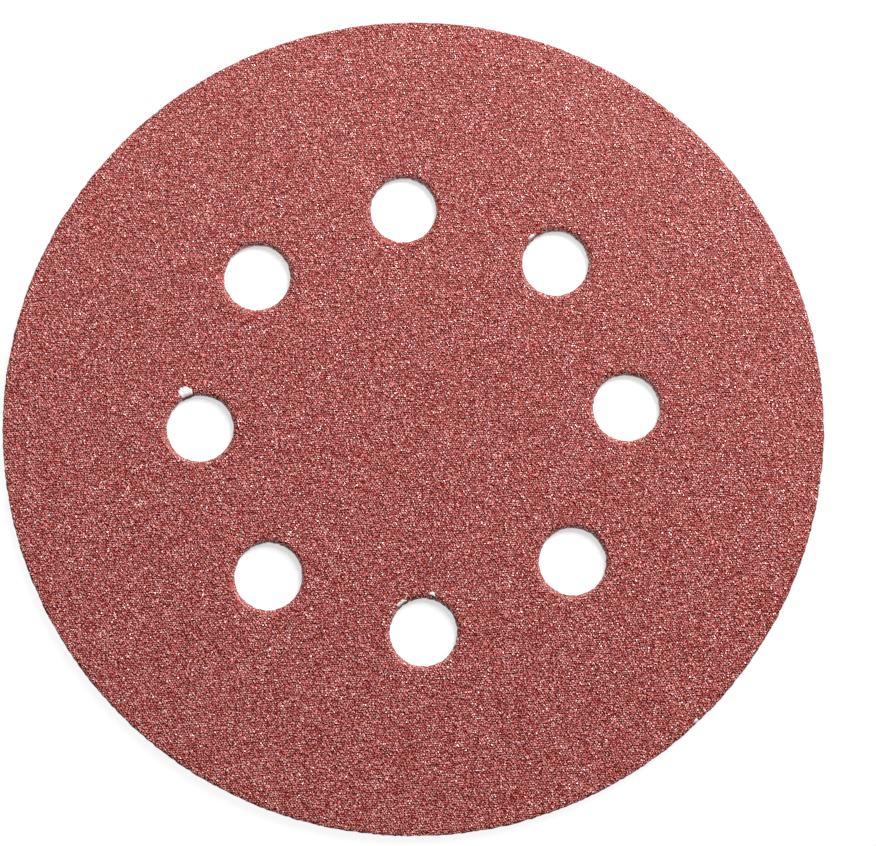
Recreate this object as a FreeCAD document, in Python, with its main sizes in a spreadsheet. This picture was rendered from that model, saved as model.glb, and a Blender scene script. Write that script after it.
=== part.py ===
import FreeCAD
import Part
import os
import Sketcher

# Perforated sanding disc, in millimetres: an abrasive coat on backing paper, with loop fabric on its back.
# +Z points out of the abrasive face, the origin is the centre of the back face, and +X runs through a dust hole.
# The three layers are one sheet that a die cuts from the abrasive side. At every cut edge they bend down into a
# lip, one on the other, and the soft fabric under the lip is squeezed thin.

SIZES = {
    "disc_diameter": 125.0,
    "hole_diameter": 10.0,
    "hole_circle_diameter": 65.0,
    "hole_count": 8,
    "loop_thickness": 0.8,
    "paper_thickness": 0.35,
    "coat_thickness": 0.45,
    "rim_lip_width": 0.35,
    "rim_lip_drop": 0.2,
    "hole_lip_width": 0.7,
    "hole_lip_drop": 0.5,
}

# Heights above the back face, each worked out from the layers below it
BACK = "0"
LOOP_TOP = "sizes.loop_thickness"
PAPER_TOP = f"{LOOP_TOP} + sizes.paper_thickness"
COAT_TOP = f"{PAPER_TOP} + sizes.coat_thickness"

# Radii of the rim and of a dust hole, and how far out the holes' centres lie
RIM = "sizes.disc_diameter / 2"
HOLE_RADIUS = "sizes.hole_diameter / 2"
HOLE_CENTRE = "sizes.hole_circle_diameter / 2"

# Flakes that have broken off the coat. An outline is pairs of a bearing in degrees, from +X about the centre of
# the round cut edge that the flake lies at, and a step in mm outwards from that edge.
FLAKES_BY_HOLE = {
    "crumbled_flake": (4, ((119, -0.5), (119, 1.4), (114, 1.9), (107, 1.8), (100, 1.1), (101, -0.5))),
    "bruised_flake": (6, ((136, -0.4), (133, 0.7), (120, 0.7), (115, 0.4), (117, -0.4))),
    "pecked_flake": (6, ((78, 0.9), (75, 1.3), (70.5, 1.0), (70, 0.6), (77, 0.6))),
    "nicked_flake": (1, ((134, 0.7), (129, 0.8), (123, 0.6), (124, 0.3), (132, 0.3))),
}
FLAKES_BY_RIM = {
    "rim_notch": ((309.8, 0.3), (309.9, -0.4), (310.2, -0.5), (310.5, 0.3)),
    "rim_nick": ((347.4, 0.3), (347.5, -0.2), (347.8, -0.3), (348.0, 0.3)),
}

# How a sketch names its own origin, its axes, and the points of a line or circle
ORIGIN_POINT = (-1, 1)
LEVEL_AXIS = -1
UPRIGHT_AXIS = -2
START, END, CENTRE = range(1, 4)
UP = FreeCAD.Vector(0, 0, 1)


def make_sizes(doc):
    """Puts the driving sizes into the sheet that every expression reads."""
    sheet = doc.addObject("Spreadsheet::Sheet", "sizes")
    for row, (name, size) in enumerate(SIZES.items(), start=1):
        cell = f"A{row}"
        sheet.set(cell, str(size))
        sheet.setAlias(cell, name)
    doc.recompute()


def origin_feature(body, role):
    """One of the body's own origin planes or axes."""
    return next(feature for feature in body.Origin.OriginFeatures if feature.Role == role)


def plane_sketch(body, name, role):
    """A sketch on one of the body's own origin planes."""
    sketch = body.newObject("Sketcher::SketchObject", name)
    sketch.AttachmentSupport = [(origin_feature(body, role), "")]
    sketch.MapMode = "FlatFace"
    sketch.Visibility = False
    return sketch


def length_of(sketch, expression):
    """What an expression over the sizes comes to."""
    return float(sketch.evalExpression(expression))


def bind(sketch, name, expression, kind, *where):
    """Adds a dimension and ties it to an expression over the sizes."""
    dimension = Sketcher.Constraint(kind, *where, length_of(sketch, expression))
    index = sketch.addConstraint(dimension)
    sketch.renameConstraint(index, name)
    sketch.setExpression(f"Constraints.{name}", expression)


def place_point(sketch, name, side, end, across, up):
    """Fixes a point of a side at a pair of expressions, measured from the sketch's origin."""
    for kind, axis, expression in (("DistanceX", UPRIGHT_AXIS, across), ("DistanceY", LEVEL_AXIS, up)):
        if expression == "0":
            sketch.addConstraint(Sketcher.Constraint("PointOnObject", side, end, axis))
        else:
            bind(sketch, f"{name}_{kind[-1].lower()}", expression, kind, *ORIGIN_POINT, side, end)


def draw_outline(sketch, corners):
    """Draws a closed outline of straight sides and binds each corner, given as a name and two expressions."""
    points = [
        FreeCAD.Vector(length_of(sketch, across), length_of(sketch, up), 0)
        for _, across, up in corners
    ]
    next_points = points[1:] + points[:1]
    sides = [sketch.addGeometry(Part.LineSegment(*ends), False) for ends in zip(points, next_points)]
    for side, next_side in zip(sides, sides[1:] + sides[:1]):
        sketch.addConstraint(Sketcher.Constraint("Coincident", side, END, next_side, START))
    for side, (name, across, up) in zip(sides, corners):
        place_point(sketch, name, side, START, across, up)


def lowered(height, drop):
    """A height at a cut edge. The back face stays flat there, and the faces above it bend down."""
    return height if height == BACK else f"{height} - {drop}"


def turn(body, name, sketch, axis):
    """A full turn of a section about one of its sketch's axes."""
    feature = body.newObject("PartDesign::Revolution", name)
    feature.Profile = sketch
    feature.ReferenceAxis = (sketch, [axis])
    feature.Angle = 360
    body.Document.recompute()
    return feature


def cut_upwards(body, name, sketch):
    """Cuts a sketched outline out of the whole layer above the back face's plane."""
    feature = body.newObject("PartDesign::Pocket", name)
    feature.Profile = sketch
    feature.Type = "ThroughAll"
    feature.Reversed = True
    body.Document.recompute()
    return feature


def make_round_sheet(body, floor, top):
    """The layer without its holes, with its lip at the rim."""
    sketch = plane_sketch(body, "rim_section", "XZ_Plane")
    level = f"{RIM} - sizes.rim_lip_width"
    corners = (
        ("axis_floor", "0", floor),
        ("level_floor", level, floor),
        ("edge_floor", RIM, lowered(floor, "sizes.rim_lip_drop")),
        ("edge_top", RIM, lowered(top, "sizes.rim_lip_drop")),
        ("level_top", level, top),
        ("axis_top", "0", top),
    )
    draw_outline(sketch, corners)
    turn(body, "round_sheet", sketch, "V_Axis")


def make_clearing(body):
    """Clears the flat sheet away where the first hole and its lip go."""
    sketch = plane_sketch(body, "clearing_outline", "XY_Plane")
    reach = f"{HOLE_RADIUS} + sizes.hole_lip_width"
    centre = FreeCAD.Vector(length_of(sketch, HOLE_CENTRE), 0, 0)
    side = sketch.addGeometry(Part.Circle(centre, UP, length_of(sketch, reach)), False)
    place_point(sketch, "centre", side, CENTRE, HOLE_CENTRE, "0")
    bind(sketch, "reach", reach, "Radius", side)
    return cut_upwards(body, "clearing", sketch)


def make_hole_lip(body, floor, top):
    """The first hole's lip, turned about the hole's own axis."""
    sketch = plane_sketch(body, "lip_section", "XZ_Plane")
    edge = f"{HOLE_CENTRE} + {HOLE_RADIUS}"
    level = f"{edge} + sizes.hole_lip_width"
    corners = (
        ("edge_floor", edge, lowered(floor, "sizes.hole_lip_drop")),
        ("level_floor", level, floor),
        ("level_top", level, top),
        ("edge_top", edge, lowered(top, "sizes.hole_lip_drop")),
    )
    draw_outline(sketch, corners)
    foot = FreeCAD.Vector(length_of(sketch, HOLE_CENTRE), 0, 0)
    head = foot + FreeCAD.Vector(0, length_of(sketch, top), 0)
    axis = sketch.addGeometry(Part.LineSegment(foot, head), True)
    place_point(sketch, "axis_foot", axis, START, HOLE_CENTRE, "0")
    place_point(sketch, "axis_head", axis, END, HOLE_CENTRE, top)
    return turn(body, "hole_lip", sketch, "Axis0")


def repeat_round_disc(body, originals):
    """Repeats the first hole's features round the disc."""
    pattern = body.newObject("PartDesign::PolarPattern", "hole_circle")
    pattern.Originals = originals
    pattern.Axis = (origin_feature(body, "Z_Axis"), [""])
    pattern.Angle = 360
    pattern.setExpression("Occurrences", "sizes.hole_count")
    body.Tip = pattern
    body.Document.recompute()


def make_layer(doc, name, floor, top):
    """One whole layer of the disc, between two heights."""
    body = doc.addObject("PartDesign::Body", name)
    body.Label = name
    body.Placement = FreeCAD.Placement()
    make_round_sheet(body, floor, top)
    repeat_round_disc(body, [make_clearing(body), make_hole_lip(body, floor, top)])
    return body


def break_off(body, name, centre, radius, outline):
    """Takes one flake off a layer, through its whole thickness."""
    sketch = plane_sketch(body, f"{name}_outline", "XY_Plane")
    centre_x, centre_y = centre
    corners = []
    for number, (bearing, step) in enumerate(outline):
        across = f"{centre_x} + ({radius} + {step}) * cos({bearing} deg)"
        along = f"{centre_y} + ({radius} + {step}) * sin({bearing} deg)"
        corners.append((f"corner_{number}", across, along))
    draw_outline(sketch, corners)
    cut_upwards(body, name, sketch)


def break_flakes(coat):
    """Takes every flake off the coat. The holes are counted from the one on +X."""
    for name, (hole, outline) in FLAKES_BY_HOLE.items():
        bearing = f"{hole} * 360 deg / sizes.hole_count"
        centre = (f"{HOLE_CENTRE} * cos({bearing})", f"{HOLE_CENTRE} * sin({bearing})")
        break_off(coat, name, centre, HOLE_RADIUS, outline)
    for name, outline in FLAKES_BY_RIM.items():
        break_off(coat, name, ("0", "0"), RIM, outline)


def check_features(doc):
    """Stops if any object failed, or if a cut left its layer as it was."""
    for item in doc.Objects:
        if {"Invalid", "Error"} & set(item.State):
            raise RuntimeError(f"{item.Label} failed: {item.State}")
        if item.isDerivedFrom("PartDesign::Pocket") and item.Shape.Volume >= item.BaseFeature.Shape.Volume:
            raise RuntimeError(f"{item.Label} cuts nothing")


def write_layers(layers):
    """Writes each layer to a file of its own once all of them are whole."""
    for layer in layers:
        shape = layer.Shape
        if shape.isNull() or not shape.isValid() or len(shape.Solids) != 1:
            raise RuntimeError(f"{layer.Label} isn't one sound solid")
    os.makedirs("parts", exist_ok=True)
    for layer in layers:
        layer.Shape.exportStep(f"parts/{layer.Label}.step")
        print(layer.Label, round(layer.Shape.Volume, 1), "cubic mm")


def main():
    doc = FreeCAD.newDocument("sanding_disc")
    make_sizes(doc)
    loop_fabric = make_layer(doc, "loop_fabric", BACK, LOOP_TOP)
    backing_paper = make_layer(doc, "backing_paper", LOOP_TOP, PAPER_TOP)
    abrasive_coat = make_layer(doc, "abrasive_coat", PAPER_TOP, COAT_TOP)
    break_flakes(abrasive_coat)
    check_features(doc)
    write_layers([loop_fabric, backing_paper, abrasive_coat])


main()
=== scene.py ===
import math

import bpy
import numpy as np
from mathutils import Matrix, Vector
from mathutils.geometry import delaunay_2d_cdt


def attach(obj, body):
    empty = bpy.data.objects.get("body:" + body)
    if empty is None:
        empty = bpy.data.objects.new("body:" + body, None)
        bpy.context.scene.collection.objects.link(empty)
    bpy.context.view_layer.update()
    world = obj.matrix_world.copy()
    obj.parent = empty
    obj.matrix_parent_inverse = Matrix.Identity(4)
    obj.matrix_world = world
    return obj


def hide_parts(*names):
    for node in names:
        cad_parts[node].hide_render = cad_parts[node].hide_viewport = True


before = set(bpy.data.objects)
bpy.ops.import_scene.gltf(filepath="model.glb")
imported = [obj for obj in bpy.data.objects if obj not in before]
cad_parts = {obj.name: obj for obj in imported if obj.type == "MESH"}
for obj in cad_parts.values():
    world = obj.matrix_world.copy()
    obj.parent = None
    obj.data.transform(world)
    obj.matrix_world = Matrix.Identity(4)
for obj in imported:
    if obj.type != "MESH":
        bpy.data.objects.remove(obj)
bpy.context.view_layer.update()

# Sizes of the disc in millimetres, as the solids have them
MM = 0.001
RIM_R = 62.5
HOLE_R = 5.0
HOLE_CIRCLE_R = 32.5
HOLE_COUNT = 8
FABRIC_TOP = 0.8
PAPER_TOP = 1.15
COAT_TOP = 1.6
RIM_LIP_WIDTH, RIM_LIP_DROP = 0.35, 0.2
HOLE_LIP_WIDTH, HOLE_LIP_DROP = 0.7, 0.5

# Flakes broken off the coat: bearing in degrees about the cut edge's centre, and mm outwards from that edge
HOLE_FLAKES = (
    (4, ((119, -0.5), (119, 1.4), (114, 1.9), (107, 1.8), (100, 1.1), (101, -0.5))),
    (6, ((136, -0.4), (133, 0.78), (121, 0.8), (115, 0.45), (117, -0.4))),
    (6, ((78, 0.9), (75, 1.3), (70.5, 1.0), (70, 0.6), (77, 0.6))),
    (1, ((134, 0.7), (129, 0.8), (123, 0.6), (124, 0.3), (132, 0.3))),
)
RIM_FLAKES = (
    ((309.7, 0.3), (309.8, -0.5), (310.2, -0.65), (310.5, 0.3)),
    ((347.4, 0.3), (347.5, -0.2), (347.8, -0.3), (348.0, 0.3)),
)

# Cut edges: how far the outline wanders, and how far apart its points lie
RIM_ROUGH, HOLE_ROUGH = 0.12, 0.11
RIM_STEP, HOLE_STEP = 0.3, 0.23

# Resin bed: its surface, and how far apart its points lie in the open and along the cut edges
RELIEF = 0.34
RESIN_SURFACE = COAT_TOP - RELIEF - 0.02
RESIN_STEP, RESIN_EDGE_STEP = 1.0, 0.28
EDGE_BAND = 1.2

# How fast a material's change at the cut edges fades inwards, at a hole and by how much faster at the rim
CUT_FADE = 1.2
RIM_FADE = 1.8

# Grain: distance between sites, share of whole crystals, and how many pieces they fill
GRAIN_PITCH = 0.38
CRYSTAL_SHARE = 0.85
CRYSTAL_PARTS = 4

# Bare paper swells by this much, less within the fade of a cut edge
PUFF, PUFF_ROUGH, PUFF_FADE = 0.27, 0.025, 0.45

# Loop fabric: ribs of the knitted ground, its underside's height, and the yarn of the loops
RIB_PITCH = 1.0
RIB_DEPTH = 0.06
GROUND_UNDERSIDE = 0.22
STITCH_LENGTH = 1.15
LOOP_SEGMENTS, LOOP_SIDES = 3, 3

# Row height of a hexagonal grid, as a share of its step
HEX_ROW = 0.866
# Shifts that keep every point of a noise on the positive side of its table
EDGE_SHIFT, FACE_SHIFT = 200, 300
# Coarse grid of the hidden faces between the layers: step, shake, and distance from the cut
HIDDEN_STEP, HIDDEN_SHAKE, HIDDEN_GAP = 4.0, 0.1, 0.9

# Floor, in metres from the middle: the seam under the rim, and where it fades to plain white
DISC_EDGE = (0.061, 0.062)
FAR_FLOOR = (0.066, 0.16)

# Camera fitted to the rim and the holes in the photograph
PHOTO_WIDTH, FOCAL_PIXELS, SENSOR = 876, 1979, 36
CAMERA_TILT = (-0.1362, 0.0011)
CAMERA_OFFSET = (-3.741, 0.858, -300.70)
CAMERA_SPIN = math.radians(-2.79)

# Colours of the materials: stops of their ramps, and single tones
WHITE, BLACK = (1.0, 1.0, 1.0), (0.0, 0.0, 0.0)
GRAIN_SHADES = (
    (0.0, (0.42, 0.034, 0.027)),
    (0.3, (0.84, 0.20, 0.175)),
    (0.65, (0.98, 0.40, 0.365)),
    (1.0, (0.99, 0.68, 0.64)),
)
GRAIN_AT_CUT = (0.53, 0.22, 0.205)
RED_BLOTCHES = ((0.3, WHITE), (0.62, WHITE), (0.74, (1.0, 0.6, 0.56)))
# The resin's own deep red, darkened further as painted shade in the gaps between the grains
RESIN_RED_AND_GAP_SHADE = ((0.25, (0.12, 0.007, 0.005)), (0.5, (0.23, 0.014, 0.009)), (0.75, (0.36, 0.033, 0.023)))
RESIN_BARE = ((0.3, (0.32, 0.030, 0.022)), (0.7, (0.54, 0.085, 0.06)))
RESIN_PRESSED = ((0.3, (0.22, 0.040, 0.035)), (0.7, (0.34, 0.08, 0.07)))
PAPER_WHITES = ((0.3, (0.88, 0.84, 0.81)), (0.55, (0.95, 0.92, 0.90)), (0.8, (0.98, 0.965, 0.95)))
# Painted shade: a dark band on bared paper at a hole's edge, standing in for the shaded cut wall
PAPER_EDGE_SHADE_PAINT = (0.19, 0.08, 0.068)
GROUND_WHITES = ((0.3, (0.66, 0.65, 0.62)), (0.7, (0.88, 0.87, 0.84)))
# Painted shade: darker tone for the grooves between the ground's ribs
GROUND_GROOVE_SHADE = (0.68, 0.67, 0.65)
YARN_WHITES = ((0.3, (0.74, 0.73, 0.70)), (0.7, (0.92, 0.91, 0.89)))
# Painted shade: darker tone for the yarn along the grooves between the ribs
YARN_GROOVE_SHADE = (0.9, 0.89, 0.87)

# Floor as the camera sees it, inside the holes and in the open, the card that other rays meet, and the world
HOLE_FLOOR_SHADE, OPEN_FLOOR_SHADE = (0.44, 0.44, 0.44), (0.13, 0.13, 0.13)
HOLE_FLOOR_GLOW, OPEN_FLOOR_GLOW = (0.6, 0.6, 0.6), (0.9, 0.9, 0.9)
CARD = (0.85, 0.85, 0.85)
WORLD_LIGHT = 0.1


def polar(centre, radius, degrees):
    """Points at bearings about a centre."""
    angle = np.radians(degrees)
    return np.column_stack((centre[0] + radius * np.cos(angle), centre[1] + radius * np.sin(angle)))


HOLES = polar((0, 0), HOLE_CIRCLE_R, np.arange(HOLE_COUNT) * 360 / HOLE_COUNT)


def lattice_noise(points, step, seed):
    """Smooth noise from -1 to 1 whose lumps are about one step wide."""
    table = np.random.default_rng(seed).uniform(-1, 1, (256, 256))
    cell = points / step
    low = np.floor(cell).astype(int)
    part = cell - low
    u, v = (part * part * (3 - 2 * part)).T
    i, j = (low % 256).T
    k, m = (i + 1) % 256, (j + 1) % 256
    near = table[i, j] * (1 - u) + table[k, j] * u
    far = table[i, m] * (1 - u) + table[k, m] * u
    return near * (1 - v) + far * v


def rim_gap(points):
    """How far inside the rim each point lies."""
    return RIM_R - np.hypot(points[:, 0], points[:, 1])


def hole_gap(points):
    """How far outside the nearest hole's edge each point lies."""
    away = np.hypot(points[:, None, 0] - HOLES[:, 0], points[:, None, 1] - HOLES[:, 1])
    return away.min(axis=1) - HOLE_R


def edge_gap(points):
    """How far each point lies from the nearest cut edge."""
    return np.minimum(rim_gap(points), hole_gap(points))


def lip_drop(points):
    """How far the sheet bends down at its cut edges."""
    at_rim = RIM_LIP_DROP * np.clip(1 - rim_gap(points) / RIM_LIP_WIDTH, 0, 1)
    at_hole = HOLE_LIP_DROP * np.clip(1 - hole_gap(points) / HOLE_LIP_WIDTH, 0, 1)
    return np.maximum(at_rim, at_hole)


def bareness(points):
    """1 where grain has been knocked off beside a dust hole, 0 where it stands."""
    gap = hole_gap(points)
    beside = np.clip((gap - 0.15) / 0.25, 0, 1) * np.clip((1.3 - gap) / 0.4, 0, 1)
    return beside * np.clip(3.0 * lattice_noise(points + FACE_SHIFT, 1.2, 22) - 1.0, 0, 1)


def cut_wobble(points):
    """-1 to 1, how the cut edge wanders in and out. It takes the points of the true circle."""
    at = points + EDGE_SHIFT
    return 0.3 * lattice_noise(at, 1.1, 100) + 0.7 * lattice_noise(at, 0.45, 101)


def ragged_circle(centre, radius, inset, rough, step):
    """A cut edge's outline in the plane. All layers share its wobble, because one die cuts them all."""
    count = int(round(2 * math.pi * radius / step))
    ring = polar((0, 0), 1, np.arange(count) * 360 / count)
    reach = radius + inset + rough * cut_wobble(ring * radius + centre)
    return centre + ring * reach[:, None]


def ragged_polygon(corners, step, rough, seed):
    """The corners with shaken points between them."""
    rng = np.random.default_rng(seed)
    out = []
    for a, b in zip(corners, np.roll(corners, -1, axis=0)):
        side = b - a
        length = math.hypot(*side)
        count = max(1, int(round(length / step)))
        normal = np.array((side[1], -side[0])) / length
        for n in range(count):
            shift = 0 if n == 0 else rng.uniform(-rough, rough)
            out.append(a + side * n / count + normal * shift)
    return np.array(out)


def flake_outlines():
    """The torn edge round each flake that has broken off."""
    at_edges = [(HOLES[hole], HOLE_R, outline) for hole, outline in HOLE_FLAKES]
    at_edges += [((0, 0), RIM_R, outline) for outline in RIM_FLAKES]
    outlines = []
    for centre, radius, outline in at_edges:
        bearing, step = np.array(outline, float).T
        outlines.append(polar(centre, radius + step, bearing))
    return [ragged_polygon(corners, 0.12, 0.035, 40 + n) for n, corners in enumerate(outlines)]


FLAKES = flake_outlines()


def within(points, loop):
    """Which points lie inside a closed outline."""
    inside = np.zeros(len(points), bool)
    low, high = loop.min(axis=0), loop.max(axis=0)
    near = np.flatnonzero(((points >= low) & (points <= high)).all(axis=1))
    if not len(near):
        return inside
    x, y = points[near].T
    state = np.zeros(len(near), bool)
    for (ax, ay), (bx, by) in zip(loop, np.roll(loop, -1, axis=0)):
        if ay == by:
            continue
        crosses = (ay > y) != (by > y)
        state ^= crosses & (x < (bx - ax) * (y - ay) / (by - ay) + ax)
    inside[near] = state
    return inside


def grid_points(step, jitter, seed):
    """A shaken hexagonal grid over the whole disc."""
    rng = np.random.default_rng(seed)
    rows = int(RIM_R / (step * HEX_ROW)) + 1
    columns = int(RIM_R / step) + 1
    i, j = np.meshgrid(np.arange(-columns, columns + 1), np.arange(-rows, rows + 1))
    points = np.column_stack(((i + 0.5 * (j % 2)).ravel() * step, j.ravel() * step * HEX_ROW))
    points = points + rng.uniform(-jitter, jitter, points.shape) * step
    return points[np.hypot(*points.T) < RIM_R]


class Sheet:
    """A flat triangulation of the disc between its ragged cut edges."""

    def __init__(self, rim, holes, flakes, inner):
        self.rim, self.holes, self.flakes = rim, holes, flakes
        self.points, self.faces = self.fill([rim, *holes, *flakes], inner)

    def keep(self, points):
        """Which points lie on the sheet itself."""
        inside = within(points, self.rim)
        for loop in (*self.holes, *self.flakes):
            inside &= ~within(points, loop)
        return inside

    def triangulate(self, points, edges):
        """Triangles that face up, between the points and along the edges, and where each point came from."""
        found = delaunay_2d_cdt([Vector(p) for p in points], edges, [], 0, 1e-6, True)
        spots = np.array([tuple(p) for p in found[0]])
        faces = np.array(found[2])
        a, b, c = (spots[faces[:, n]] for n in range(3))
        turn = (b[:, 0] - a[:, 0]) * (c[:, 1] - a[:, 1]) - (b[:, 1] - a[:, 1]) * (c[:, 0] - a[:, 0])
        faces[turn < 0] = faces[turn < 0][:, ::-1]
        faces = faces[(np.abs(turn) > 1e-9) & self.keep((a + b + c) / 3)]
        return spots, faces, found[3]

    def fill(self, loops, inner):
        """The sheet's upper face, between its outlines and over its inner points."""
        edges, first = [], 0
        for loop in loops:
            count = len(loop)
            edges += [(first + n, first + (n + 1) % count) for n in range(count)]
            first += count
        points, faces, _ = self.triangulate(np.vstack([*loops, inner]), edges)
        used = np.unique(faces)
        fresh = np.full(len(points), -1)
        fresh[used] = np.arange(len(used))
        return points[used], fresh[faces]

    def border(self):
        """Directed edges along the cut, with the sheet on their left."""
        sides = np.vstack([self.faces[:, (0, 1)], self.faces[:, (1, 2)], self.faces[:, (2, 0)]])
        pairs = {(a, b) for a, b in sides.tolist()}
        return [(a, b) for a, b in sorted(pairs) if (b, a) not in pairs]

    def close(self, top, bottom, levels, rough, seed, inner_seed):
        """Closes the sheet into a solid with rough cut walls.

        top and bottom give a height for each point. The walls have a row of points at each level, as a share
        of the way down.
        """
        rng = np.random.default_rng(seed)
        border = self.border()
        ring = sorted({n for edge in border for n in edge})
        place = {n: k for k, n in enumerate(ring)}
        ring_points = self.points[ring]
        inner = clear_of_cut(grid_points(HIDDEN_STEP, HIDDEN_SHAKE, inner_seed), HIDDEN_GAP)
        edges = [(place[a], place[b]) for a, b in border]
        spots, under, origins = self.triangulate(np.vstack([ring_points, inner]), edges)
        low_of = {source: n for n, sources in enumerate(origins) for source in sources if source < len(ring)}

        top_z, low_z = top(self.points), bottom(ring_points)
        solid = [np.column_stack((self.points, top_z))]
        rows = [dict(enumerate(ring))]
        count = len(self.points)
        for level in levels:
            share = level + rng.uniform(-0.12, 0.12, len(ring))
            height = top_z[ring] * (1 - share) + low_z * share
            shift = rng.uniform(-rough, rough, (len(ring), 2))
            solid.append(np.column_stack((ring_points + shift, height)))
            rows.append({k: count + k for k in range(len(ring))})
            count += len(ring)
        solid.append(np.column_stack((spots, bottom(spots))))
        rows.append({k: count + low_of[k] for k in range(len(ring))})

        walls = []
        for start, end in edges:
            for upper, lower in zip(rows, rows[1:]):
                walls.append((upper[end], upper[start], lower[start]))
                walls.append((upper[end], lower[start], lower[end]))
        return np.vstack(solid), np.vstack([self.faces, under[:, ::-1] + count, np.array(walls)])


def nearness(points):
    """1 at a cut edge, 0 well away from it."""
    gap = np.minimum(rim_gap(points) * RIM_FADE, hole_gap(points))
    return np.clip(1 - gap / CUT_FADE, 0, 1)


def add_mesh(name, points, faces, smooth, measures):
    """Makes an object from points in mm, with a map of the plane and the measures its material reads."""
    mesh = bpy.data.meshes.new(name)
    mesh.vertices.add(len(points))
    mesh.vertices.foreach_set("co", np.asarray(points * MM, np.float32).ravel())
    mesh.loops.add(faces.size)
    mesh.loops.foreach_set("vertex_index", faces.astype(np.int32).ravel())
    mesh.polygons.add(len(faces))
    mesh.polygons.foreach_set("loop_start", np.arange(0, faces.size, 3, dtype=np.int32))
    mesh.polygons.foreach_set("use_smooth", np.full(len(faces), smooth))
    layer = mesh.uv_layers.new(name="OFBake")
    flat = points[:, :2][faces.ravel()] / (2 * RIM_R + 2) + 0.5
    layer.data.foreach_set("uv", flat.astype(np.float32).ravel())
    for measure, function in measures.items():
        attribute = mesh.attributes.new(measure, "FLOAT", "POINT")
        attribute.data.foreach_set("value", function(points[:, :2]).astype(np.float32))
    mesh.update(calc_edges=True)
    mesh.validate()
    piece = bpy.data.objects.new(name, mesh)
    bpy.context.scene.collection.objects.link(piece)
    return piece


def put_on(piece, node, material):
    """Gives a piece its material, hangs it under the root body, and hides the solid that it dresses."""
    piece.data.materials.clear()
    piece.data.materials.append(material)
    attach(piece, "root")
    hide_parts(node)


# Materials


def new_material(name):
    """An empty material with one principled shader."""
    material = bpy.data.materials.new(name)
    material.use_nodes = True
    nodes, links = material.node_tree.nodes, material.node_tree.links
    nodes.clear()
    shader = nodes.new("ShaderNodeBsdfPrincipled")
    output = nodes.new("ShaderNodeOutputMaterial")
    links.new(shader.outputs["BSDF"], output.inputs["Surface"])
    return material, nodes, links, shader


def flat_position(nodes, links):
    """Object position with its height left out."""
    coordinates = nodes.new("ShaderNodeTexCoord")
    squash = nodes.new("ShaderNodeVectorMath")
    squash.operation = "MULTIPLY"
    squash.inputs[1].default_value = (1, 1, 0)
    links.new(coordinates.outputs["Object"], squash.inputs[0])
    return squash.outputs[0]


def noise(nodes, links, position, scale, detail, roughness):
    """Smooth noise over a position, from 0 to 1."""
    texture = nodes.new("ShaderNodeTexNoise")
    texture.inputs["Scale"].default_value = scale
    texture.inputs["Detail"].default_value = detail
    texture.inputs["Roughness"].default_value = roughness
    links.new(position, texture.inputs["Vector"])
    return texture.outputs["Fac"]


def ramp(nodes, links, factor, stops):
    """A colour for each value of a factor, between stops."""
    node = nodes.new("ShaderNodeValToRGB")
    elements = node.color_ramp.elements
    while len(elements) < len(stops):
        elements.new(0.5)
    for element, (position, colour) in zip(elements, stops):
        element.position = position
        element.color = (*colour, 1)
    links.new(factor, node.inputs["Fac"])
    return node.outputs["Color"]


def mix(nodes, links, factor, a, b, kind="MIX"):
    """Mixes two colours. The factor and the colours may be sockets or plain values."""
    node = nodes.new("ShaderNodeMix")
    node.data_type = "RGBA"
    node.blend_type = kind
    for socket, value in ((node.inputs[0], factor), (node.inputs[6], a), (node.inputs[7], b)):
        if isinstance(value, bpy.types.NodeSocket):
            links.new(value, socket)
        elif isinstance(value, (int, float)):
            socket.default_value = value
        else:
            socket.default_value = (*value, 1)
    return node.outputs[2]


def to_range(nodes, links, value, low, high, new_low, new_high):
    """Maps a value from one range to another and clamps it there."""
    node = nodes.new("ShaderNodeMapRange")
    links.new(value, node.inputs["Value"])
    for name, number in (("From Min", low), ("From Max", high), ("To Min", new_low), ("To Max", new_high)):
        node.inputs[name].default_value = number
    return node.outputs["Result"]


def bump(nodes, links, shader, height, strength, distance):
    """Roughens a shader's surface by a height."""
    node = nodes.new("ShaderNodeBump")
    node.inputs["Strength"].default_value = strength
    node.inputs["Distance"].default_value = distance
    links.new(height, node.inputs["Height"])
    links.new(node.outputs["Normal"], shader.inputs["Normal"])


def mask(nodes, links, measure, low, high):
    """0 to 1 as one of the mesh's own measures goes from low to high."""
    attribute = nodes.new("ShaderNodeAttribute")
    attribute.attribute_name = measure
    return to_range(nodes, links, attribute.outputs["Fac"], low, high, 0.0, 1.0)


def grain_material():
    """Crystals glazed with red resin, in shades from deep red to pale pink."""
    material, nodes, links, shader = new_material("grain")
    position = flat_position(nodes, links)
    cells = nodes.new("ShaderNodeTexVoronoi")
    cells.inputs["Scale"].default_value = 5000
    links.new(position, cells.inputs["Vector"])
    split = nodes.new("ShaderNodeSeparateColor")
    links.new(cells.outputs["Color"], split.inputs["Color"])
    tone = ramp(nodes, links, split.outputs["Red"], GRAIN_SHADES)
    tone = mix(nodes, links, mask(nodes, links, "near_cut", 0.5, 1.15), tone, GRAIN_AT_CUT)
    patch = ramp(nodes, links, noise(nodes, links, position, 620, 2, 0.5), RED_BLOTCHES)
    links.new(mix(nodes, links, 1.0, tone, patch, "MULTIPLY"), shader.inputs["Base Color"])
    glaze = noise(nodes, links, position, 700, 3, 0.5)
    links.new(to_range(nodes, links, glaze, 0.3, 0.7, 0.26, 0.42), shader.inputs["Roughness"])
    shader.inputs["IOR"].default_value = 1.9
    bump(nodes, links, shader, noise(nodes, links, position, 9000, 3, 0.6), 0.3, 0.00004)
    return material


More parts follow.
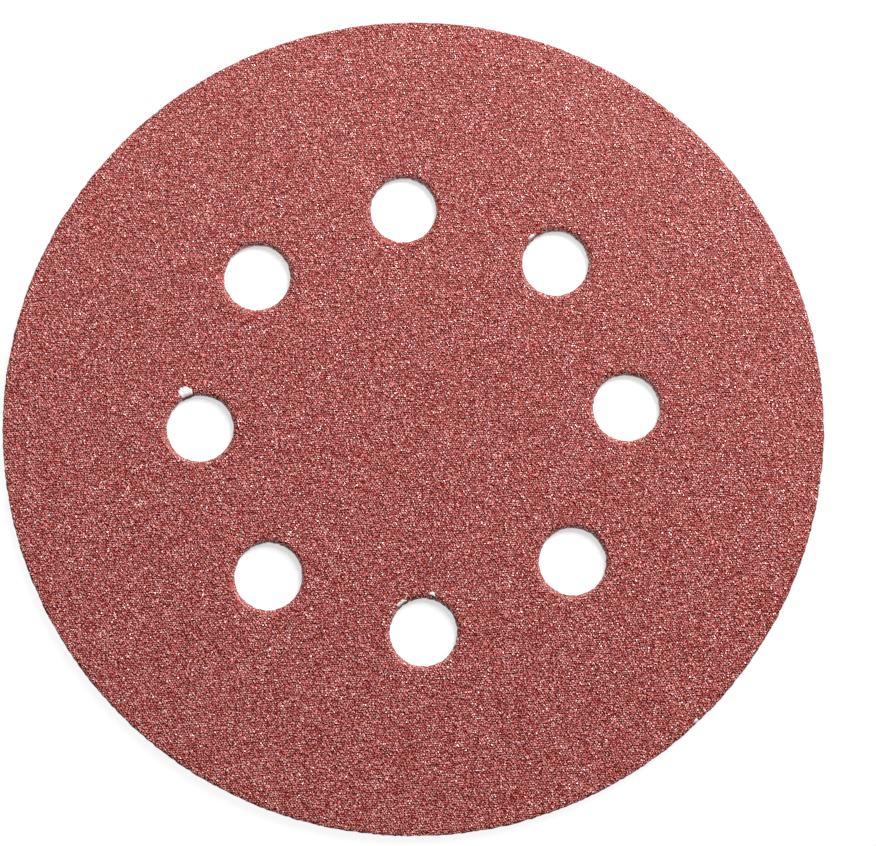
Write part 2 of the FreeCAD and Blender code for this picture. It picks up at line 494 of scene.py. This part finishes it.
def resin_material():
    """Deep red between the grains, darkened further as painted shade in the gaps, orange where it lies bare,
    dull pink where the die pressed it.
    """
    material, nodes, links, shader = new_material("resin")
    position = flat_position(nodes, links)
    shade = noise(nodes, links, position, 1400, 5, 0.65)
    # Deep red of the resin, darkened further as painted shade in the gaps between the grains
    red_and_gap_shade = ramp(nodes, links, shade, RESIN_RED_AND_GAP_SHADE)
    bare = ramp(nodes, links, shade, RESIN_BARE)
    pressed = ramp(nodes, links, shade, RESIN_PRESSED)
    colour = mix(nodes, links, mask(nodes, links, "bare", 0.1, 0.9), red_and_gap_shade, bare)
    colour = mix(nodes, links, mask(nodes, links, "near_cut", 0.62, 0.8), colour, pressed)
    links.new(colour, shader.inputs["Base Color"])
    links.new(to_range(nodes, links, shade, 0.3, 0.7, 0.32, 0.5), shader.inputs["Roughness"])
    bump(nodes, links, shader, noise(nodes, links, position, 5000, 4, 0.6), 0.5, 0.00005)
    return material


def paper_material():
    """Pale paper, with painted shade along the die's edge where a flake has torn away."""
    material, nodes, links, shader = new_material("paper")
    position = flat_position(nodes, links)
    fibres = noise(nodes, links, position, 3500, 6, 0.7)
    colour = ramp(nodes, links, fibres, PAPER_WHITES)
    # Painted shade along the torn edge at a hole, where the cut wall lies in shade
    painted_edge_shade = nodes.new("ShaderNodeMath")
    painted_edge_shade.operation = "MULTIPLY"
    links.new(mask(nodes, links, "near_cut", 0.68, 0.77), painted_edge_shade.inputs[0])
    links.new(mask(nodes, links, "torn", 0.4, 0.6), painted_edge_shade.inputs[1])
    colour = mix(nodes, links, painted_edge_shade.outputs[0], colour, PAPER_EDGE_SHADE_PAINT)
    links.new(colour, shader.inputs["Base Color"])
    links.new(to_range(nodes, links, fibres, 0.3, 0.7, 0.7, 0.95), shader.inputs["Roughness"])
    bump(nodes, links, shader, fibres, 0.6, 0.00006)
    return material


def fabric_material(name, whites, groove_shade):
    """Brushed yarn, with painted shade darkening it along the grooves between the ribs."""
    material, nodes, links, shader = new_material(name)
    position = flat_position(nodes, links)
    threads = noise(nodes, links, position, 2600, 5, 0.7)
    ribs = nodes.new("ShaderNodeTexWave")
    ribs.inputs["Scale"].default_value = 2 * math.pi / (20 * RIB_PITCH * MM)
    ribs.inputs["Distortion"].default_value = 1.2
    ribs.inputs["Detail Scale"].default_value = 3.0
    links.new(position, ribs.inputs["Vector"])
    # Painted shade: darker along the grooves between the ribs
    painted_groove_shade = ramp(nodes, links, ribs.outputs["Fac"], ((0.25, WHITE), (0.9, groove_shade)))
    colour = ramp(nodes, links, threads, whites)
    links.new(mix(nodes, links, 1.0, colour, painted_groove_shade, "MULTIPLY"), shader.inputs["Base Color"])
    links.new(to_range(nodes, links, threads, 0.3, 0.7, 0.65, 0.9), shader.inputs["Roughness"])
    shader.inputs["Sheen Weight"].default_value = 0.3
    bump(nodes, links, shader, threads, 0.7, 0.00012)
    return material


# Abrasive coat: a bed of resin


def coat_height(points):
    """Height of the lumpy resin's surface."""
    at = points + FACE_SHIFT
    lumps = 0.6 * lattice_noise(at, 0.62, 11) + 0.4 * lattice_noise(at, 0.27, 12)
    return RESIN_SURFACE + 0.04 * lumps - lip_drop(points)


def loops_of_cut(rim_inset, hole_inset):
    """The outlines of the rim and of each hole for one layer."""
    rim = ragged_circle(np.zeros(2), RIM_R, -rim_inset, RIM_ROUGH, RIM_STEP)
    holes = [ragged_circle(centre, HOLE_R, hole_inset, HOLE_ROUGH, HOLE_STEP) for centre in HOLES]
    return rim, holes


def clear_of_cut(points, gap):
    """The points that lie farther than a gap from every cut edge."""
    return points[edge_gap(points) > gap]


def make_resin():
    """The bed of resin, open where flakes have broken off."""
    rim, holes = loops_of_cut(0.03, 0.1)
    wide = clear_of_cut(grid_points(RESIN_STEP, 0.3, 1), EDGE_BAND)
    close = clear_of_cut(grid_points(RESIN_EDGE_STEP, 0.3, 2), 0.16)
    close = close[edge_gap(close) <= EDGE_BAND]
    sheet = Sheet(rim, holes, FLAKES, np.vstack([wide, close]))
    return sheet.close(coat_height, lambda p: PAPER_TOP - lip_drop(p), (0.5,), 0.03, seed=4, inner_seed=3)


# Grain: closed crystals half sunk in the resin


def near_flake(points, gap):
    """Which points lie in a flake or within a gap of its edge."""
    close = np.zeros(len(points), bool)
    for loop in FLAKES:
        close |= within(points, loop)
        away = np.hypot(points[:, None, 0] - loop[:, 0], points[:, None, 1] - loop[:, 1]).min(axis=1)
        close |= away < gap
    return close


def torn_at_hole(points):
    """1 on the paper that a flake has laid bare at a dust hole, and 0 elsewhere."""
    return near_flake(points, 0.12) & (rim_gap(points) > 3)


def grain_sites():
    """Where the crystals stand, shuffled: clear of cuts and flakes, and thinner along the holes' edges."""
    sites = grid_points(GRAIN_PITCH, 0.16, 20)
    sites = sites[(rim_gap(sites) > 0.13) & (hole_gap(sites) > 0.13)]
    sites = sites[~near_flake(sites, 0.1)]
    rng = np.random.default_rng(21)
    sites = sites[rng.uniform(0.2, 1.6, len(sites)) > bareness(sites)]
    return rng.permutation(sites)


def girdle(rng, count, corners, size):
    """Irregular outlines round each crystal's middle, turned at random."""
    turn = rng.uniform(0, 2 * math.pi, (count, 1))
    spread = rng.uniform(-0.25, 0.25, (count, corners))
    angle = turn + (np.arange(corners) + spread) * 2 * math.pi / corners
    radius = size[:, None] * rng.uniform(0.8, 1.2, (count, corners))
    return radius * np.cos(angle), radius * np.sin(angle)


def settle(x, y, up, sites):
    """Puts crystals at their sites, on the resin and down the lips, and cuts off what the die cut."""
    flat = np.column_stack(((x + sites[:, 0:1]).ravel(), (y + sites[:, 1:2]).ravel()))
    outer = np.flatnonzero(rim_gap(flat) < 0.3)
    reach = np.hypot(*flat[outer].T)
    way = flat[outer] / reach[:, None]
    edge = RIM_R - 0.01 + RIM_ROUGH * cut_wobble(way * RIM_R)
    flat[outer] = way * np.minimum(reach, edge)[:, None]
    for centre in HOLES:
        step = flat - centre
        near = np.flatnonzero(np.hypot(*step.T) < HOLE_R + 0.3)
        reach = np.hypot(*step[near].T)
        way = step[near] / reach[:, None]
        edge = HOLE_R + 0.06 + HOLE_ROUGH * cut_wobble(way * HOLE_R + centre)
        flat[near] = centre + way * np.maximum(reach, edge)[:, None]
    pressed = np.clip((hole_gap(flat) - 0.05) / 0.5, 0.3, 1)
    height = RESIN_SURFACE + up.ravel() * pressed - lip_drop(flat)
    return np.column_stack((flat, height))


def make_crystals(sites, seed):
    """Three-sided crystals, each ending in a tilted facet."""
    rng = np.random.default_rng(seed)
    count = len(sites)
    size = rng.uniform(0.58, 0.72, count) * GRAIN_PITCH
    x, y = girdle(rng, count, 3, size)
    shrink = rng.uniform(0.4, 0.7, (count, 1))
    shift_x, shift_y = rng.uniform(-0.15, 0.15, (2, count, 1)) * size[:, None]
    top_x, top_y = x * shrink + shift_x, y * shrink + shift_y
    slope_x, slope_y = rng.normal(0, 0.35, (2, count, 1))
    peak = rng.uniform(0.72, 1.0, (count, 1)) * RELIEF
    top_up = np.minimum(peak + slope_x * top_x + slope_y * top_y, RELIEF)
    up = rng.uniform(-0.03, 0.15, (count, 3))
    points = settle(np.hstack((x, top_x)), np.hstack((y, top_y)), np.hstack((up, top_up)), sites)
    shape = np.array(((0, 1, 4), (0, 4, 3), (1, 2, 5), (1, 5, 4), (2, 0, 3), (2, 3, 5), (3, 4, 5), (0, 2, 1)))
    faces = (np.arange(count) * 6)[:, None, None] + shape
    return points, faces.reshape(-1, 3)


def make_splinters(sites, seed):
    """Smaller crystals that end in a point."""
    rng = np.random.default_rng(seed)
    count = len(sites)
    size = rng.uniform(0.5, 0.8, count) * GRAIN_PITCH
    x, y = girdle(rng, count, 3, size)
    bearing = rng.uniform(0, 2 * math.pi, (count, 1))
    lean = size[:, None] * rng.uniform(0, 0.5, (count, 1))
    tip = rng.uniform(0.4, 1.0, (count, 1)) * RELIEF
    up = rng.uniform(-0.03, 0.12, (count, 3))
    x, y = np.hstack((x, lean * np.cos(bearing))), np.hstack((y, lean * np.sin(bearing)))
    points = settle(x, y, np.hstack((up, tip)), sites)
    faces = (np.arange(count) * 4)[:, None, None] + np.array(((0, 1, 3), (1, 2, 3), (2, 0, 3), (0, 2, 1)))
    return points, faces.reshape(-1, 3)


# Backing paper and loop pile


def make_paper():
    """The backing paper, swollen and rough where a flake has bared it."""
    rim, holes = loops_of_cut(0.03, 0.09)
    wide = clear_of_cut(grid_points(2.4, 0.25, 5), 0.9)
    lip = grid_points(0.5, 0.3, 6)
    lip = lip[(edge_gap(lip) > 0.15) & (edge_gap(lip) <= 0.9)]
    bare = grid_points(0.14, 0.3, 7)
    close = np.zeros(len(bare), bool)
    for loop in FLAKES:
        middle = loop.mean(axis=0)
        close |= np.hypot(*(bare - middle).T) < 1.4
    bare = bare[close & (edge_gap(bare) > 0.1)]
    sheet = Sheet(rim, holes, [], np.vstack([wide, lip, bare]))

    def top(points):
        fade = np.clip(edge_gap(points) / PUFF_FADE, 0.15, 1)
        puff = fade * (PUFF + PUFF_ROUGH * lattice_noise(points + FACE_SHIFT, 0.3, 51))
        return PAPER_TOP - lip_drop(points) + np.where(near_flake(points, 0.02), puff, 0)

    return sheet.close(top, lambda p: FABRIC_TOP - lip_drop(p), (0.35, 0.7), 0.04, seed=9, inner_seed=8)


def rib_points(across, along):
    """Staggered points in straight lines that run along the fabric's ribs."""
    columns, rows = int(RIM_R / across) + 1, int(RIM_R / along) + 1
    i, j = np.meshgrid(np.arange(-columns, columns + 1), np.arange(-rows, rows + 1))
    points = np.column_stack((i.ravel() * across, (j + 0.5 * (i % 2)).ravel() * along))
    return points[np.hypot(*points.T) < RIM_R]


def make_ground():
    """The knitted ground of the loop fabric, with its ribs on the underside."""
    rim, holes = loops_of_cut(0.06, 0.08)
    sheet = Sheet(rim, holes, [], clear_of_cut(rib_points(RIB_PITCH / 3, 1.0), 0.2))

    def under(points):
        ribs = np.cos(points[:, 0] * 2 * math.pi / RIB_PITCH)
        return GROUND_UNDERSIDE - RIB_DEPTH * ribs + 0.035 * lattice_noise(points + FACE_SHIFT, 0.9, 31)

    def upper(points):
        return FABRIC_TOP - lip_drop(points)

    points, faces = sheet.close(under, upper, (0.35, 0.7), 0.05, seed=34, inner_seed=33)
    return points, faces[:, ::-1]


def tubes(paths, across, radius):
    """Thin yarn round each of many paths. Each path bends in the plane square to its across direction."""
    count, rows = paths.shape[:2]
    tangent = np.gradient(paths, axis=1)
    tangent /= np.linalg.norm(tangent, axis=2, keepdims=True)
    side = np.cross(tangent, across[:, None, :])
    rings = []
    for n in range(LOOP_SIDES):
        a = 2 * math.pi * n / LOOP_SIDES
        rings.append(paths + radius[:, None, None] * (math.cos(a) * across[:, None, :] + math.sin(a) * side))
    points = np.stack(rings, axis=2).reshape(-1, 3)
    shape = []
    for row in range(rows - 1):
        for n in range(LOOP_SIDES):
            a, b = row * LOOP_SIDES + n, row * LOOP_SIDES + (n + 1) % LOOP_SIDES
            c, d = b + LOOP_SIDES, a + LOOP_SIDES
            shape += [(a, b, c), (a, c, d)]
    last = (rows - 1) * LOOP_SIDES
    shape += [(0, 2, 1), (last, last + 1, last + 2)]
    faces = (np.arange(count) * rows * LOOP_SIDES)[:, None, None] + np.array(shape)
    return points, faces.reshape(-1, 3)


def make_loops():
    """Loops of yarn stitched in chains along every second rib of the ground's underside."""
    rng = np.random.default_rng(61)
    sites = clear_of_cut(rib_points(2 * RIB_PITCH, STITCH_LENGTH), 0.5)
    sites += rng.uniform(-0.08, 0.08, sites.shape)
    count = len(sites)
    turn = math.radians(90) + rng.normal(0, 0.3, count)
    span = rng.uniform(0.36, 0.5, count)
    depth = rng.uniform(0.14, 0.24, count)
    lean = rng.uniform(-0.15, 0.15, (count, 2))
    along = np.column_stack((np.cos(turn), np.sin(turn)))
    angle = np.linspace(0, math.pi, LOOP_SEGMENTS + 1)
    reach = np.cos(angle)[None, :, None] * span[:, None, None]
    sway = np.sin(angle)[None, :, None] * lean[:, None, :]
    paths = np.zeros((count, LOOP_SEGMENTS + 1, 3))
    paths[:, :, :2] = sites[:, None, :] + along[:, None, :] * reach + sway
    paths[:, :, 2] = GROUND_UNDERSIDE + 0.02 - np.sin(angle)[None, :] * depth[:, None]
    across = np.column_stack((-along[:, 1], along[:, 0], np.zeros(count)))
    points, faces = tubes(paths, across, rng.uniform(0.07, 0.1, count))
    points[:, 2] = np.maximum(points[:, 2], 0.0)
    return points, faces


# Pieces, each on the solid that it replaces


def build_coat():
    """The abrasive coat: resin, crystals and splinters."""
    resin = add_mesh("resin_coat", *make_resin(), True, {"near_cut": nearness, "bare": bareness})
    put_on(resin, "abrasive_coat", resin_material())
    grain = grain_material()
    sites = grain_sites()
    split = int(CRYSTAL_SHARE * len(sites))
    pieces = {
        f"grain_{number}": make_crystals(part, 70 + number)
        for number, part in enumerate(np.array_split(sites[:split], CRYSTAL_PARTS), start=1)
    }
    pieces["grain_splinters"] = make_splinters(sites[split:], 81)
    for name, (points, faces) in pieces.items():
        piece = add_mesh(name, points, faces, False, {"near_cut": nearness})
        put_on(piece, "abrasive_coat", grain)


def build_backing():
    """The backing paper and the loop fabric's ground and loops."""
    paper = add_mesh("paper_sheet", *make_paper(), True, {"near_cut": nearness, "torn": torn_at_hole})
    put_on(paper, "backing_paper", paper_material())
    ground = add_mesh("pile_ground", *make_ground(), True, {})
    put_on(ground, "loop_fabric", fabric_material("ground", GROUND_WHITES, GROUND_GROOVE_SHADE))
    loops = add_mesh("pile_loops", *make_loops(), True, {})
    put_on(loops, "loop_fabric", fabric_material("yarn", YARN_WHITES, YARN_GROOVE_SHADE))


# Stage, light and camera


def seen_directly(nodes, links):
    """1 for rays from the camera, and for those that a gloss or a clear surface sends on."""
    path = nodes.new("ShaderNodeLightPath")
    seen = path.outputs["Is Camera Ray"]
    for kind in ("Is Glossy Ray", "Is Transmission Ray"):
        either = nodes.new("ShaderNodeMath")
        either.operation = "MAXIMUM"
        links.new(seen, either.inputs[0])
        links.new(path.outputs[kind], either.inputs[1])
        seen = either.outputs[0]
    return seen


def make_floor():
    """A white floor that keeps the disc's shadow. Other rays meet it as plain pale card."""
    mesh = bpy.data.meshes.new("floor")
    mesh.from_pydata([(-6, -6, 0), (6, -6, 0), (6, 6, 0), (-6, 6, 0)], [], [(0, 1, 2, 3)])
    floor = bpy.data.objects.new("floor", mesh)
    bpy.context.scene.collection.objects.link(floor)
    material = bpy.data.materials.new("white_floor")
    material.use_nodes = True
    nodes, links = material.node_tree.nodes, material.node_tree.links
    nodes.clear()

    place = nodes.new("ShaderNodeTexCoord")
    reach = nodes.new("ShaderNodeVectorMath")
    reach.operation = "LENGTH"
    links.new(place.outputs["Object"], reach.inputs[0])
    outside = to_range(nodes, links, reach.outputs["Value"], *DISC_EDGE, 0.0, 1.0)
    far = to_range(nodes, links, reach.outputs["Value"], *FAR_FLOOR, 0.0, 1.0)

    shaded = nodes.new("ShaderNodeBsdfDiffuse")
    near_shade = mix(nodes, links, outside, HOLE_FLOOR_SHADE, OPEN_FLOOR_SHADE)
    links.new(mix(nodes, links, far, near_shade, BLACK), shaded.inputs["Color"])
    glow = nodes.new("ShaderNodeEmission")
    near_glow = mix(nodes, links, outside, HOLE_FLOOR_GLOW, OPEN_FLOOR_GLOW)
    links.new(mix(nodes, links, far, near_glow, WHITE), glow.inputs["Color"])
    both = nodes.new("ShaderNodeAddShader")
    links.new(shaded.outputs[0], both.inputs[0])
    links.new(glow.outputs[0], both.inputs[1])

    card = nodes.new("ShaderNodeBsdfDiffuse")
    card.inputs["Color"].default_value = (*CARD, 1)
    choice = nodes.new("ShaderNodeMixShader")
    links.new(seen_directly(nodes, links), choice.inputs["Fac"])
    links.new(card.outputs[0], choice.inputs[1])
    links.new(both.outputs[0], choice.inputs[2])
    output = nodes.new("ShaderNodeOutputMaterial")
    links.new(choice.outputs[0], output.inputs["Surface"])
    mesh.materials.append(material)


def make_world():
    """White to the camera, and a faint even light on the disc."""
    world = bpy.data.worlds.new("studio")
    bpy.context.scene.world = world
    world.use_nodes = True
    nodes, links = world.node_tree.nodes, world.node_tree.links
    nodes.clear()
    path = nodes.new("ShaderNodeLightPath")
    choice = nodes.new("ShaderNodeMixShader")
    links.new(path.outputs["Is Camera Ray"], choice.inputs["Fac"])
    for number, strength in enumerate((WORLD_LIGHT, 1.0), start=1):
        background = nodes.new("ShaderNodeBackground")
        background.inputs["Color"].default_value = (*WHITE, 1)
        background.inputs["Strength"].default_value = strength
        links.new(background.outputs[0], choice.inputs[number])
    output = nodes.new("ShaderNodeOutputWorld")
    links.new(choice.outputs[0], output.inputs["Surface"])


def make_lamp(name, azimuth, elevation, away, size, strength):
    """A round soft lamp. Strength 1 lights a white card at the disc's centre up to white."""
    flat = Vector((math.cos(math.radians(azimuth)), math.sin(math.radians(azimuth)), 0))
    rise = math.sin(math.radians(elevation))
    direction = flat * math.cos(math.radians(elevation)) + Vector((0, 0, rise))
    data = bpy.data.lights.new(name, "AREA")
    data.shape = "DISK"
    data.size = size
    data.energy = strength * math.pi**2 * away**2 / rise
    lamp = bpy.data.objects.new(name, data)
    lamp.location = direction * away
    lamp.rotation_euler = direction.to_track_quat("Z", "Y").to_euler()
    bpy.context.scene.collection.objects.link(lamp)


def make_lamps():
    """One main lamp up and to the right of the disc, and a weak one up and to the left."""
    make_lamp("key", azimuth=50, elevation=44, away=0.47, size=0.215, strength=0.92)
    make_lamp("fill", azimuth=114, elevation=50, away=0.25, size=0.15, strength=0.12)


def make_camera():
    """Where the photograph was taken from: nearly straight above, a little below the disc's centre."""
    tilt = Matrix.Rotation(CAMERA_TILT[0], 3, "X") @ Matrix.Rotation(CAMERA_TILT[1], 3, "Y")
    turned = Matrix.Rotation(CAMERA_SPIN, 3, "Z") @ tilt.transposed()
    place = turned @ -Vector(CAMERA_OFFSET) + Vector((0, 0, COAT_TOP))
    data = bpy.data.cameras.new("camera")
    data.sensor_width = SENSOR
    data.lens = SENSOR * FOCAL_PIXELS / PHOTO_WIDTH
    data.clip_start, data.clip_end = 0.01, 20
    camera = bpy.data.objects.new("camera", data)
    camera.matrix_world = Matrix.Translation(place * MM) @ turned.to_4x4()
    bpy.context.scene.collection.objects.link(camera)
    bpy.context.scene.camera = camera


build_coat()
build_backing()
make_floor()
make_world()
make_lamps()
make_camera()
bpy.context.scene.view_settings.view_transform = "Standard"
